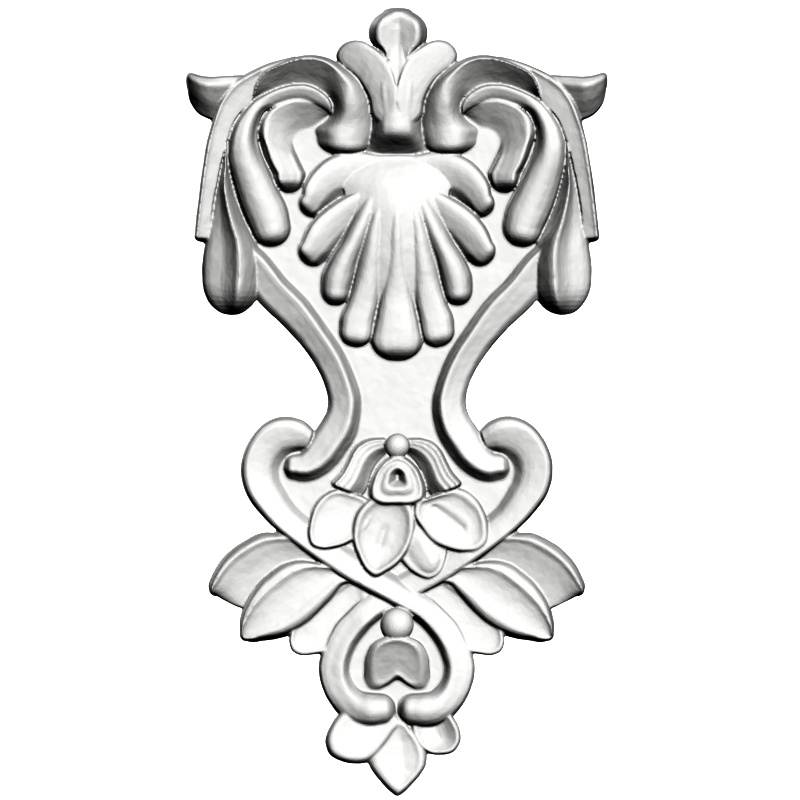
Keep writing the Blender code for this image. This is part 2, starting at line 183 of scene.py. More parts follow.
def rounded_end(row, inner, reach, manner):
    """Rows that carry a run on past row, away from inner, to a rounded and walled end."""
    middle = (row[0:2] + row[2:4]) / 2
    half = (row[0:2] - row[2:4]) / 2
    ahead = middle - (inner[0:2] + inner[2:4]) / 2
    heading = np.array([-half[1], half[0]])
    heading /= np.linalg.norm(heading)
    if heading @ ahead < 0:
        heading = -heading
    steepness, roundness = manner
    # The height holds until the last stretch, and falls to the ground over that.
    fall = min(reach, (row[4] - FOOT) / steepness)
    rows = []
    for step in range(1, END_RINGS + 1):
        turn = END_SWEEP * step / END_RINGS
        end = row.copy()
        centre = middle + heading * reach * math.sin(turn)
        end[0:2] = centre + half * math.cos(turn)
        end[2:4] = centre - half * math.cos(turn)
        left_over = min(1.0, reach * (1 - math.sin(turn)) / max(fall, TINY))
        end[4] = FOOT + (row[4] - FOOT) * (1 - (1 - left_over) ** roundness)
        rows.append(end)
    return rows


def ring(row, sections, wall, side):
    """The closed ring of points that the cross-section makes at one row."""
    left, right, crest, lean, mix = row[0:2], row[2:4], row[4], row[5], row[6]
    places = sections[0][0]
    first = min(int(mix), len(sections) - 1)
    second = min(first + 1, len(sections) - 1)
    blend = min(max(mix - first, 0), 1)
    heights = sections[first][1] * (1 - blend) + sections[second][1] * blend
    width = np.linalg.norm(left - right)
    inset = min(wall / max(width, TINY), WIDEST_WALL)
    offsets = np.where(places < 0, lean + places * (1 + lean), lean + places * (1 - lean))
    shares = inset + (offsets + 1) / 2 * (1 - 2 * inset)
    points = []
    for share, rise in [(0, 0), *zip(shares, heights), (1, 0)]:
        x, z = right + (left - right) * share
        points.append((side * x * UNIT, -(FOOT + (crest - FOOT) * rise) * UNIT, z * UNIT))
    for x, _, z in (points[-1], points[0]):
        points.append((x, TUCK * UNIT, z))
    return points


def add_skin(bm, rings):
    """Extrude the first ring from ring to ring, fill both ends and add the form to bm."""
    form = bmesh.new()
    verts = [form.verts.new(point) for point in rings[0]]
    faces = [form.faces.new(verts)]
    for points in rings[1:]:
        edges = [form.edges.get((verts[i - 1], verts[i])) for i in range(len(verts))]
        made = bmesh.ops.extrude_edge_only(form, edges=edges)["geom"]
        faces += [item for item in made if isinstance(item, bmesh.types.BMFace)]
        new = {item for item in made if isinstance(item, bmesh.types.BMVert)}
        verts = [
            next(edge.other_vert(old) for edge in old.link_edges if edge.other_vert(old) in new)
            for old in verts
        ]
        for vert, point in zip(verts, points):
            vert.co = point
    faces.append(form.faces.new(verts))
    bmesh.ops.recalc_face_normals(form, faces=faces)
    scratch = bpy.data.meshes.new("form")
    form.to_mesh(scratch)
    form.free()
    bm.from_mesh(scratch)
    bpy.data.meshes.remove(scratch)


def add_form(bm, rows, knots, start=0.0, end=0.0, wall=0.15, sides=BOTH, manner=WALLED_END):
    """Carve one form into bm from its rows and its cross-sections, which mix along it.

    The start and the end say how far its rounded ends reach on past the rows, the wall how
    far its side walls lean in, and the manner how its end drops to the ground.
    """
    lines = knots if isinstance(knots[0], list) else [knots]
    sections = [section_curve(line) for line in lines]
    rows = list(rows)
    if end:
        rows += rounded_end(rows[-1], rows[-2], end, manner)
    if start:
        rows = rounded_end(rows[0], rows[1], start, SOFT_END)[::-1] + rows
    for side in sides:
        add_skin(bm, [ring(row, sections, wall, side) for row in rows])


def add_mound(bm, outline, spine, profile, tilt=(0, 0), sides=BOTH):
    """Carve one form into bm that rises from its outline inwards to a short spine.

    The profile holds (way in, height): the way runs from 0 at the outline to 1 at the spine.
    The tilt is the rise for each millimetre to the right and up.
    """
    rows = np.tile(np.array(outline, dtype=float), (3, 1))
    along = np.concatenate([[0.0], np.cumsum(np.linalg.norm(np.diff(rows, axis=0), axis=1))])
    places = np.linspace(along[len(outline)], along[2 * len(outline)], MOUND_POINTS + 1)[:-1]
    loop = smooth_rows(rows, places, along)
    foot, head = np.array(spine, dtype=float)
    length_squared = max(np.dot(head - foot, head - foot), TINY)
    shares = np.clip((loop - foot) @ (head - foot) / length_squared, 0, 1)
    inner = foot + shares[:, None] * (head - foot)
    knots = np.array(profile, dtype=float)
    ways = np.linspace(0, 1, MOUND_RINGS) ** MOUND_CROWDING * MOUND_REACH
    heights = smooth_rows(knots[:, 1:], ways, knots[:, 0])[:, 0]
    for side in sides:
        rings = [[(side * x * UNIT, TUCK * UNIT, z * UNIT) for x, z in loop]]
        for way, height in zip(ways, heights):
            spots = loop * (1 - way) + inner * way
            lifts = height + (spots - (foot + head) / 2) @ np.array(tilt)
            rings.append([(side * x * UNIT, -lift * UNIT, z * UNIT)
                          for (x, z), lift in zip(spots, lifts)])
        add_skin(bm, rings)


# Cross-sections: (place across, height). The place runs from -1 on the right-hand edge of
# the run, through 0 at the crest, to 1 on its left-hand edge. A height of 1 is the crest.
DOME = [(-1, 0.1), (-0.93, 0.4), (-0.75, 0.7), (-0.42, 0.92), (0, 1), (0.42, 0.92),
        (0.75, 0.7), (0.93, 0.4), (1, 0.1)]
FLAT_DOME = [(-1, 0.35), (-0.9, 0.66), (-0.7, 0.88), (-0.3, 0.99), (0, 1), (0.3, 0.99),
             (0.7, 0.88), (0.9, 0.66), (1, 0.35)]
SOFT_DOME = [(-1, 0.55), (-0.75, 0.76), (-0.4, 0.94), (0, 1), (0.4, 0.94), (0.75, 0.76),
             (1, 0.55)]
DISH = [(-1, 0.35), (-0.92, 0.62), (-0.82, 0.9), (-0.7, 1), (-0.5, 0.95), (-0.25, 0.87),
        (0, 0.8), (0.25, 0.87), (0.5, 0.95), (0.7, 1), (0.82, 0.9), (0.92, 0.62), (1, 0.35)]
STEM_TOP = [(-1, 0.25), (-0.94, 0.43), (-0.7, 0.72), (-0.47, 0.97), (-0.3, 1), (-0.12, 0.97),
            (0, 0.955), (0.12, 0.97), (0.3, 1), (0.47, 0.97), (0.7, 0.72), (0.94, 0.43),
            (1, 0.25)]
STEM_FOOT = [(-1, 0.12), (-0.86, 0.47), (-0.72, 0.68), (-0.58, 0.84), (-0.29, 0.96), (0, 1),
             (0.29, 0.96), (0.58, 0.84), (0.72, 0.68), (0.86, 0.47), (1, 0.12)]
HOLLOW = [(-1, 0.5), (-0.7, 0.85), (0, 1), (0.25, 0.84), (0.5, 0.67), (0.75, 0.5),
          (0.92, 0.4), (1, 0.36)]
COLUMN = [(-1, 0.3), (-0.85, 0.54), (-0.5, 0.86), (0, 1), (0.35, 0.93), (0.65, 0.66),
          (0.88, 0.32), (1, 0.12)]
CURL = [(-1, 0.05), (-0.6, 0.25), (-0.2, 0.47), (0.3, 0.72), (0.7, 0.92), (0.9, 1), (1, 0.97)]
BLADE = [(-1, 0.16), (-0.86, 0.48), (-0.5, 0.66), (0, 0.83), (0.4, 0.96), (0.62, 1),
         (0.76, 0.9), (0.9, 0.48), (1, 0.1)]
ROLL = [(-1, 0.74), (-0.5, 0.86), (0, 0.94), (0.55, 1), (0.85, 0.98), (1, 0.84)]
LOBE = [(-1, 0.42), (-0.85, 0.5), (-0.5, 0.84), (-0.3, 0.95), (0, 1), (0.4, 0.96),
        (0.8, 0.83), (1, 0.6)]
SCOOP = [(-1, 0.08), (-0.8, 0.36), (-0.5, 0.68), (-0.2, 0.94), (0, 1), (0.17, 0.81),
         (0.4, 0.6), (0.63, 0.49), (0.86, 0.36), (0.96, 0.25), (1, 0.15)]
BAND = [(-1, 0.74), (-0.5, 0.8), (0, 0.86), (0.5, 0.93), (0.85, 1), (1, 0.9)]
TIP = [(-1, 0.25), (-0.65, 0.45), (-0.2, 0.7), (0.25, 0.88), (0.7, 1), (1, 0.85)]
SHELL_BODY = [(-1, 0.45), (-0.7, 0.7), (-0.35, 0.92), (0, 1), (0.35, 0.92), (0.7, 0.7), (1, 0.45)]
SHELL_LOBE = [(-1, 0), (-0.72, 0.36), (-0.52, 0.63), (-0.2, 0.8), (0.15, 0.93), (0.45, 1),
              (0.72, 0.99), (0.9, 0.88), (1, 0.6)]
STRAP = [(-1, 0), (-0.55, 0.5), (-0.2, 0.92), (0, 1), (0.3, 0.86), (0.6, 0.7),
         (0.86, 0.52), (1, 0.25)]
RIBBON = [(-1, 0.05), (-0.86, 0.34), (-0.7, 0.65), (-0.56, 0.77), (-0.2, 0.94), (0, 1),
          (0.45, 0.95), (0.8, 0.76), (1, 0.35)]
LOOP = [(-1, 0.3), (-0.93, 0.56), (-0.8, 0.68), (-0.4, 0.85), (0, 1), (0.2, 0.96), (0.45, 0.72),
        (0.75, 0.3), (1, 0.05)]
LEAF = [(-1, 0.22), (-0.6, 0.32), (0, 0.53), (0.4, 0.74), (0.6, 0.85), (0.7, 0.97),
        (0.78, 1), (0.86, 0.9), (0.93, 0.7), (1, 0.4)]
CURVED_LEAF = [(-1, 0.2), (-0.88, 0.64), (-0.76, 0.8), (-0.4, 0.73), (-0.1, 0.71), (0.3, 0.78),
               (0.52, 0.88), (0.64, 1), (0.74, 0.95), (0.84, 0.93), (0.92, 0.78), (1, 0.45)]
FLUTED = [(-1, 0.2), (-0.8, 0.34), (-0.5, 0.6), (-0.25, 0.8), (-0.08, 0.9), (0.06, 0.88),
          (0.2, 0.9), (0.36, 0.97), (0.5, 0.93), (0.66, 0.97), (0.82, 1), (1, 0.7)]


def carve_finial(bm):
    """The dished head, its stem down to the shell and a lobe on each side."""
    head = [(0.3, 137, 6.2, 19.8), (0.4, 140, 7.4, 20.2), (0.5, 143.2, 10.6, 20.8),
            (0.5, 147, 11.7, 21.4), (0.5, 150.8, 11, 21.6), (0.5, 154, 8.6, 20.6, 0, 0.5),
            (0.5, 155.8, 5.8, 18.5, 0, 1)]
    add_form(bm, run_rows(head), [DISH, DOME], end=1.7, wall=0.5, sides=ONCE)
    stem = [(0.3, 146, 5.6, 17.5), (0.2, 140, 6.2, 18.5), (0.2, 136, 7.4, 19.8),
            (0, 132, 10, 20.6), (0, 128, 12.4, 21.2), (0, 123, 12.4, 21.6, 0, 0.3),
            (0, 118, 11.2, 21.9, 0, 0.7), (0, 113, 10.4, 22.1, 0, 1), (0, 109, 10.4, 22.1, 0, 1),
            (0, 107.4, 10.6, 21.4, 0, 1), (0, 105.6, 11.1, 19, 0, 1), (0, 103.6, 11.8, 15, 0, 1),
            (0, 101.6, 12.4, 10.8, 0, 1), (0, 99.6, 12.9, 7, 0, 1), (0, 98, 13.1, 4.6, 0, 1)]
    add_form(bm, run_rows(stem), [STEM_TOP, STEM_FOOT], sides=ONCE)
    lobe = [(5.6, 138.8), (9.7, 141.7), (13.2, 143.8), (16.9, 144.5), (20.6, 143.5), (23.1, 141.2),
            (24.1, 138.2), (23.2, 135.6), (20.7, 133.4), (17.7, 131.2), (13.6, 126.4),
            (11, 121), (9.6, 114), (4, 110), (0, 118), (1, 130)]
    swelling = [(0, 16), (0.08, 17.8), (0.2, 18.4), (0.5, 18.8), (1, 19)]
    add_mound(bm, lobe, ((3, 124), (15, 138)), swelling, tilt=(-0.5, 0.02))


def carve_scrolls(bm):
    """The hollow C-shaped scrolls, which turn into a column with a round end."""
    scroll = [(56.6, 121, 57.4, 122.5, 16.6, -0.75), (53.8, 122.2, 56.2, 127.5, 18, -0.75),
              (50.4, 123.8, 53.2, 132.2, 19, -0.75), (46, 125.8, 47.6, 135.2, 19.6, -0.75),
              (40.5, 126.8, 41, 137.7, 19.9, -0.75), (35.2, 126.6, 34, 138.6, 20, -0.72),
              (30.6, 124.8, 26.6, 137, 20.2, -0.62), (28, 122.6, 20.2, 133, 20.4, -0.42, 0.3),
              (26.6, 120.4, 14.6, 128.4, 20.3, -0.2, 0.7), (26.2, 117.6, 11, 122.4, 19.4, 0, 1),
              (26.8, 114, 9.9, 116.4, 17.6, 0.02, 1), (29, 111.6, 9.7, 111, 16.2, 0.05, 1),
              (32.4, 108.8, 10.2, 106.6, 15.8, 0, 1), (31.8, 105.4, 11.2, 103.8, 15.6, 0, 1)]
    add_form(bm, blade_rows(scroll), [HOLLOW, COLUMN], end=6.4, manner=SOFT_END)


def carve_curled_leaves(bm):
    """The curled leaf inside each scroll, whose face falls from its rim to the ground."""
    leaf = [(27.8, 117.2, 27.4, 113.6, 9), (31, 119, 29.8, 111.8, 10.8),
            (34.4, 120.6, 33, 109.6, 12.2), (40, 121.2, 37.2, 108.4, 13),
            (45.8, 119.8, 40, 106.4, 13.4), (50.4, 117, 40.9, 104, 13.8),
            (53.8, 113, 40.9, 102, 14.5, 0, 0.2), (55.3, 108, 40.4, 100.2, 15.6, 0, 0.5),
            (54.2, 101.8, 39.4, 97.8, 16.6, 0, 0.9), (52.3, 95.8, 37.8, 94.6, 17.2, 0, 1),
            (49.8, 91.2, 36.2, 91.2, 17.2, 0, 1)]
    add_form(bm, blade_rows(leaf), [CURL, BLADE], start=1.4, end=8, wall=0.5)


def carve_middle_lobes(bm):
    """The lobe that starts as a thin roll over the curled leaf and swells downwards."""
    lobe = [(26.2, 115.8, 27.2, 115.6, 12), (25.9, 118, 29.4, 117.2, 13.6),
            (27.2, 121.2, 31.8, 118.6, 14.8), (30.4, 124.2, 34, 119.9, 15.4),
            (35, 126.5, 37, 120.9, 15.6), (41, 126.8, 41, 121, 15.7), (46.6, 125.5, 46, 119.6, 15.7),
            (51.6, 123.4, 50, 117.8, 15.7, 0, 0.1), (57, 120.6, 53.2, 115.4, 16.1, 0, 0.6),
            (62, 115.6, 55.4, 110.4, 17, 0, 1), (65.6, 109.6, 55.8, 105.4, 18, 0, 1),
            (67.4, 103, 54.8, 101, 18.2, 0, 1.1), (67.6, 96, 53, 96.4, 17.8, 0, 1.5),
            (66.2, 89, 50, 90.4, 17, 0, 1.9), (64, 81.4, 46.8, 84, 16.3, 0, 2),
            (61, 73.8, 43.6, 77, 15.8, 0, 2), (58.4, 68.4, 42.4, 71.4, 15.4, 0, 2)]
    add_form(bm, blade_rows(lobe), [ROLL, LOBE, DOME], start=0.6, end=8.2, manner=SOFT_END)


def carve_drops(bm):
    """The drop-shaped lobes, scooped out on their outer side."""
    drop = [(68.4, 103, 67.6, 103, 14.2), (70.2, 96, 67.2, 96, 15.6, -0.1),
            (72.2, 87.5, 65.6, 88, 17.5, 0.1), (73.8, 79, 63.6, 80, 19.1, -0.1),
            (75.4, 70.5, 60.4, 71.4, 21, -0.24), (76.8, 62, 56, 63.4, 22.2, -0.25),
            (77.8, 54, 53.6, 55.6, 22.2, -0.2), (77.8, 49.6, 54, 48.8, 21.8, -0.2)]
    add_form(bm, blade_rows(drop), SCOOP, end=14.6, manner=SOFT_END)


def carve_outer_bands(bm):
    """The flat band down each side, with a rim along its outer edge, and its curled tip."""
    band = [(41, 138, 46, 130, 15.4), (47.5, 136.4, 51, 127, 15.8),
            (54.6, 133.8, 55.6, 123, 16.4), (60.4, 131, 58.6, 119.4, 16.8),
            (65.6, 127.6, 62.6, 115.2, 17.3), (69.8, 121.8, 65.4, 110.8, 17.2),
            (73, 114.4, 67.6, 104.6, 17), (75.8, 104.4, 69.6, 97.6, 16.8),
            (77.6, 94, 71.2, 90, 15.8), (79, 83.6, 72.8, 81.6, 14.8),
            (80.2, 73.4, 74, 72.6, 13.6), (81, 66, 74.6, 65.6, 12)]
    add_form(bm, blade_rows(band), BAND, end=2, wall=0.4)
    tip = [(62, 130.6, 66, 116, 15), (66, 130.4, 70, 113.5, 17.6), (70, 130.2, 73, 112.6, 19.6),
           (75, 130, 76.5, 113.6, 21.8), (78, 130.3, 78.8, 114.8, 21), (80.6, 131, 81.2, 117.4, 19),
           (82.6, 131.5, 82.9, 120.6, 16.6), (83.7, 131.2, 83.8, 125.5, 14)]
    add_form(bm, blade_rows(tip), TIP, end=0.5, wall=0.6)


def carve_shell(bm):
    """The shell: a low swelling, four lobes on each side and one in the middle."""
    body = [(0, 97, 20, 8.4), (0, 93, 22, 11.8), (0, 88.5, 22, 14.8), (0, 83, 21, 16.8),
            (0, 78, 20.5, 17.5), (0, 72, 20, 17.4), (0, 66, 20, 16.9), (0, 60, 20, 16.2),
            (0, 52, 19, 14.6), (0, 46, 17.5, 13), (0, 40, 15, 11.2), (0, 34, 12, 9.6)]
    add_form(bm, run_rows(body), SHELL_BODY, start=2, end=6, sides=ONCE)
    first = [(6, 98.4, 4, 84, 8.4), (16, 99.8, 11, 83, 9.6), (25.4, 98.4, 18, 82.4, 11.6),
             (31.2, 94.8, 22.4, 81, 13.4), (35.2, 90.2, 25.2, 79, 14.8),
             (37.2, 86.2, 27.4, 77, 15.6), (37.7, 82.8, 29.3, 75, 15.4)]
    add_form(bm, blade_rows(first), SHELL_LOBE, start=3, end=5.4, manner=SOFT_END)
    second = [(12, 86, 8, 78, 12.4), (20, 82.6, 14, 71, 13.6), (27.2, 78.2, 19, 65, 14.4),
              (32.2, 74, 22.8, 60.6, 15.2), (36, 69, 25.8, 57.2, 15.8), (38.2, 63.8, 29, 55.2, 15.8)]
    add_form(bm, blade_rows(second), SHELL_LOBE, start=3, end=5.4, manner=SOFT_END)
    third = [(7.5, 95, 1, 92, 10), (12.4, 85, 5, 82, 14.8), (17.2, 75, 8.6, 72.6, 16.2),
             (22.6, 64.6, 12.6, 62.6, 16.8, 0, 0.5), (27.6, 56.4, 15.6, 55, 16.8, 0, 1),
             (30.2, 50, 17.2, 48.6, 16.2, 0, 1), (30.4, 45.4, 18.4, 44.4, 15.4, 0, 1)]
    add_form(bm, blade_rows(third), [SOFT_DOME, DOME], start=2, end=6.6, manner=SOFT_END)
    fourth = [(8, 84, 2.6, 82, 16), (12.4, 72, 4.2, 70, 17), (15.2, 59.6, 4.8, 58, 16.2),
              (17.4, 48, 6, 47, 14.6, 0, 0.4), (20.2, 39.2, 7.4, 38.4, 13.6, 0, 1),
              (22.6, 33.4, 9, 31, 13.4, 0, 1), (22.9, 29.6, 9.6, 27, 13.4, 0, 1)]
    add_form(bm, blade_rows(fourth), [SOFT_DOME, FLAT_DOME], start=2, end=6.6, manner=SOFT_END)
    middle = [(0, 84, 3, 16.4), (0, 72, 4.2, 18), (0, 66, 4.8, 17.8), (0, 60, 5, 17.1),
              (0, 50, 5.8, 15.5, 0, 0.3), (0, 42, 7, 14.5, 0, 0.7), (0, 35, 8.4, 14.5, 0, 1),
              (0, 29, 9.6, 14.7, 0, 1), (0, 25, 10.5, 14.6, 0, 1)]
    add_form(bm, run_rows(middle), [SOFT_DOME, FLAT_DOME], start=2, end=8.8, sides=ONCE,
             manner=SOFT_END)


def carve_straps(bm):
    """The S-shaped strap on each side of the ground, hooked at its lower end."""
    strap = [(63.5, 59.8, 7.3, 13, -0.6), (57.6, 54.6, 7.3, 13.4, -0.58),
             (49.6, 44.8, 7.5, 13.6, -0.55), (39.8, 35, 7.25, 13.6, -0.5),
             (32.4, 25.9, 6.6, 13.6, -0.42), (26.3, 16.7, 6.5, 13.6, -0.4),
             (22.4, 8, 6.5, 13.7, -0.38), (20.6, 0, 6.9, 13.8, -0.38),
             (21.1, -5.4, 7.2, 13.8, -0.36), (23, -11, 7.8, 13.6, -0.34),
             (26.2, -16.2, 7.9, 13.4, -0.3), (29.4, -21, 7.6, 13.2, -0.28),
             (32.6, -24.4, 6.9, 13, -0.24), (37, -26.6, 6.2, 12.6, -0.2),
             (40.8, -26.6, 5.5, 12, -0.1)]
    add_form(bm, run_rows(strap), STRAP, end=4.7)


def carve_ribbons(bm):
    """The scroll ribbons. They cross, the left one on top, and end in balls under the loop."""
    scroll = [(35.5, -15.3, 4.9, 10.6, 0.2), (40, -13.9, 6.9, 12.2, 0.3),
              (44.3, -13.9, 8, 12.8, 0.45), (48.3, -15.6, 8.3, 13, 0.6),
              (51.9, -19.4, 8, 13, 0.65), (54.2, -24.6, 7.9, 13, 0.65),
              (54.4, -29.3, 7.8, 13, 0.65), (53.2, -33.8, 7.6, 13, 0.65),
              (50.2, -38.9, 7.2, 13, 0.65), (44.8, -45.8, 6.4, 13, 0.65),
              (35.8, -53.3, 6.3, 13, 0.65), (26.5, -60.1, 6.2, 13.2, 0.62)]
    over = [(17, -66.5, 6.1, 13.6, 0.6), (7.3, -71.9, 6, 14.4, 0.6),
            (-2.8, -77.8, 5.9, 14.2, 0.55, 0.2), (-10.2, -82.6, 5.8, 12.8, 0.5, 0.6)]
    under = [(17, -66.5, 6.1, 11.8, 0.6), (7.3, -71.9, 6, 10.6, 0.6),
             (-2.8, -77.8, 5.9, 10.4, 0.55, 0.2), (-10.2, -82.6, 5.8, 11, 0.5, 0.6)]
    loop = [(-14.6, -86.9, 5.8, 11.6, 0.44, 1), (-19.2, -92.2, 6.2, 11.2, 0.4, 1),
            (-22.8, -99, 6.2, 11, 0.38, 1), (-24.7, -105.5, 6.4, 11, 0.38, 1),
            (-23.8, -112.2, 6.3, 11.2, 0.34, 1.1), (-20.5, -118.4, 6.4, 12, 0.26, 1.4),
            (-15.2, -122.6, 6.9, 14, 0.1, 1.9), (-10.3, -123.4, 7, 15.4, 0, 2),
            (-6.4, -123.2, 6.6, 14.8, 0, 2)]
    for crossing, side in ((over, MIRRORED), (under, AS_LAID)):
        rows = run_rows(scroll + crossing + loop)
        add_form(bm, rows, [RIBBON, LOOP, DOME], start=1.5, end=6.2, sides=(side,),
                 manner=SOFT_END)


def carve_leaves(bm):
    """Three leaves outside each ribbon, each lying over the next, with a raised upper rim."""
    top = [(30, -56, 22, -68, 8.6), (40, -53, 34, -68, 11), (48, -52.4, 41, -69, 11.6),
           (54.6, -52.8, 47, -73, 12.2), (61.6, -56.1, 52, -77, 12.6), (67, -60, 56, -80, 12.8),
           (71.4, -65, 59.5, -82.4, 12.8), (74.4, -70.6, 63, -82.2, 12.4),
           (75.3, -74, 67.9, -80, 11.6), (74.9, -75.8, 72, -77.8, 10.8)]
    add_form(bm, blade_rows(top), LEAF, end=0.7, wall=0.6)
    middle = [(24, -66, 18, -73, 11.4), (31.3, -64.4, 21, -74, 12.4), (38, -63.3, 24.6, -78.4, 13),
              (45, -64.6, 29.6, -84, 13.6), (51.2, -68.7, 35.5, -89.3, 13.8),
              (56.4, -73.7, 42, -93.1, 13.8), (60, -79.2, 48, -94.9, 13.6),
              (62, -84.6, 53.6, -95.7, 13), (62.9, -89.6, 58, -96.2, 12.4),
              (62.7, -93, 60.6, -95.6, 11.6)]
    add_form(bm, blade_rows(middle), CURVED_LEAF, end=0.7, wall=0.6)
    bottom = [(14, -70), (24, -75), (34, -84), (42.2, -91.6), (43, -96), (41.6, -99.8),
              (38.6, -101.3), (33, -101), (24, -99), (16, -91), (11, -80)]
    rimmed = [(0, 6.6), (0.06, 7.8), (0.14, 8.2), (0.3, 7.5), (0.6, 7), (1, 6.8)]
    add_mound(bm, bottom, ((24, -82), (36, -94)), rimmed, tilt=(0.02, -0.05))


def carve_flower(bm):
    """The hanging flower: four petals, a draped collar and a bud with a small hollow."""
    left = [(-17.5, -36.8), (-24.8, -35.4), (-29.6, -37.8), (-33, -41.8), (-34.8, -48),
            (-35.3, -53.8), (-34, -57.6), (-30.3, -59), (-24.8, -58.4), (-17.4, -55.6),
            (-11, -50), (-9, -43), (-12, -38.8)]
    shallow = [(0, 11.6), (0.07, 13.4), (0.14, 13.8), (0.28, 13.1), (0.6, 12.5), (1, 12.2)]
    add_mound(bm, left, ((-22, -43), (-28, -52)), shallow, tilt=(-0.06, -0.08), sides=ONCE)
    rear = [(4, -48), (-1, -57), (2.2, -64.2), (7.3, -68.9), (13.3, -70.9), (16.9, -68.7),
            (19.5, -63.5), (20.2, -59), (18, -50)]
    rising = [(0, 10.4), (0.08, 12), (0.15, 12.3), (0.28, 12.1), (0.6, 13.2), (1, 14)]
    add_mound(bm, rear, ((9, -56), (14, -65)), rising, tilt=(0, -0.02), sides=ONCE)
    right = [(12.5, -38.4), (19, -36.4), (25.9, -35), (31.4, -38.6), (35.1, -44.4), (36.5, -50.8),
             (36, -56.5), (33.1, -59.4), (26.7, -60.2), (19.8, -58.8), (14.5, -56.3),
             (9.9, -50.8), (6.8, -44.4), (8, -40.4)]
    grooved = [(0, 12), (0.07, 13.8), (0.13, 14.2), (0.35, 13.1), (0.6, 12.4), (0.8, 12.3),
               (0.92, 11.6), (1, 11.1)]
    add_mound(bm, right, ((15, -42), (26, -50.4)), grooved, tilt=(-0.04, -0.06), sides=ONCE)
    middle = [(3.4, -38), (6.6, -42.6), (7.4, -48.1), (6.6, -54.5), (4.2, -60.2), (1, -64.2),
              (-4.4, -68.2), (-8.8, -70.1), (-12, -68), (-14.4, -64.4), (-16.2, -60.3),
              (-17.5, -56.3), (-17.7, -50.8), (-15.8, -44.4), (-11, -39), (-4, -36)]
    dished = [(0, 12.6), (0.06, 14.5), (0.12, 15), (0.3, 13.4), (0.6, 12), (0.85, 11.4),
              (0.94, 10.9), (1, 10.6)]
    add_mound(bm, middle, ((-5, -52), (-6.6, -57)), dished, tilt=(-0.03, -0.05), sides=ONCE)
    collar = [(4.5, -14.5, 4, -21, 11.4), (10, -14.6, 6, -22.6, 12), (14.6, -16.2, 8.2, -25.2, 12.6),
              (17.8, -19.4, 9.8, -28.4, 13.2), (20, -24, 11, -31.8, 14),
              (22.6, -28.6, 12, -35, 15.4), (26, -32.2, 13.4, -37.2, 16.8)]
    add_form(bm, blade_rows(collar), FLUTED, end=2.2, wall=0.4, manner=SOFT_END)
    bud = [(-3, -22.4), (-7.6, -26.4), (-10.2, -31.6), (-11.1, -36), (-10.4, -39.6), (-7.6, -41.3),
           (0, -41.7), (8, -41.2), (10.9, -39.4), (11.6, -36), (10.6, -31.4), (8, -26.4),
           (3.6, -22.4), (0.3, -21.4)]
    pitted = [(0, 9.6), (0.05, 13.4), (0.11, 15.7), (0.17, 16.2), (0.26, 15.7), (0.38, 15.6),
              (0.5, 16.5), (0.6, 16.9), (0.68, 16.6), (0.78, 14.6), (0.9, 11.8), (1, 9.8)]
    add_mound(bm, bud, ((0.3, -29.4), (0.3, -31)), pitted, tilt=(0, -0.04), sides=ONCE)


def carve_boss(bm):
    """The blunt heart-shaped boss inside the loop, notch down, whose face falls away downwards."""
    heart = [(-5, -94.4), (-9.6, -96.8), (-12, -101), (-12.8, -107), (-12.5, -112.4),
             (-11.5, -115.8), (-9.2, -116.6), (-4.7, -114.6), (0.2, -111.2), (5.1, -114.6),
             (9.6, -116.6), (11.9, -115.8), (12.9, -112.4), (13.1, -107), (12.2, -101),
             (9.6, -96.8), (5, -94.4), (0, -93.6)]
    bossed = [(0, 9.8), (0.08, 11.2), (0.2, 12.8), (0.26, 13.1), (0.4, 12.7), (1, 12.2)]
    add_mound(bm, heart, ((0.2, -101), (0.2, -104)), bossed, tilt=(0, 0.5), sides=ONCE)


def carve_drop(bm):
    """The three petals that hang below the loop."""
    right = [(12, -123), (18, -122), (22.2, -126), (24.9, -131), (25.3, -136), (22.6, -140),
             (18, -141.2), (13, -140.8), (9, -138), (6, -132), (7, -126)]
    hollowed = [(0, 7.6), (0.08, 9.2), (0.16, 9.5), (0.3, 8.6), (0.6, 6.8), (1, 5.6)]
    add_mound(bm, right, ((15, -129), (17, -134)), hollowed, tilt=(0.06, 0), sides=ONCE)
    middle = [(2, -127), (6, -131.6), (9.5, -136.4), (11.8, -140.8), (11.7, -145),
              (9.4, -149.2), (6, -153), (2.4, -156.6), (0.3, -157.8), (-2, -156.4),
              (-5.6, -152.8), (-8.6, -149.2), (-11.2, -144.8), (-11.8, -140), (-8, -132),
              (-3, -126)]
    pointed = [(0, 6.4), (0.1, 8.6), (0.18, 9.2), (0.5, 8.6), (1, 7.6)]
    add_mound(bm, middle, ((2, -136), (3, -147)), pointed, tilt=(-0.04, -0.03), sides=ONCE)
    left = [(-17, -120), (-22.6, -124.4), (-26.8, -130), (-28.5, -136.2), (-27, -140.8),
            (-21.6, -144), (-15.9, -144.8), (-11, -144), (-8, -142), (-5, -138.3), (-1, -133),
            (2.4, -128.3), (0, -125), (-8, -122)]
    full = [(0, 7), (0.08, 9.4), (0.16, 10.6), (0.24, 10.9), (0.5, 10.6), (1, 10.2)]
    add_mound(bm, left, ((-11, -129), (-17, -134)), full, tilt=(-0.07, -0.09), sides=ONCE)


# The beads: (x, z, centre height above the back, radius).
BEADS = [(0.2, -17.8, 12.6, 5), (0.1, -89.3, 12, 6.8)]

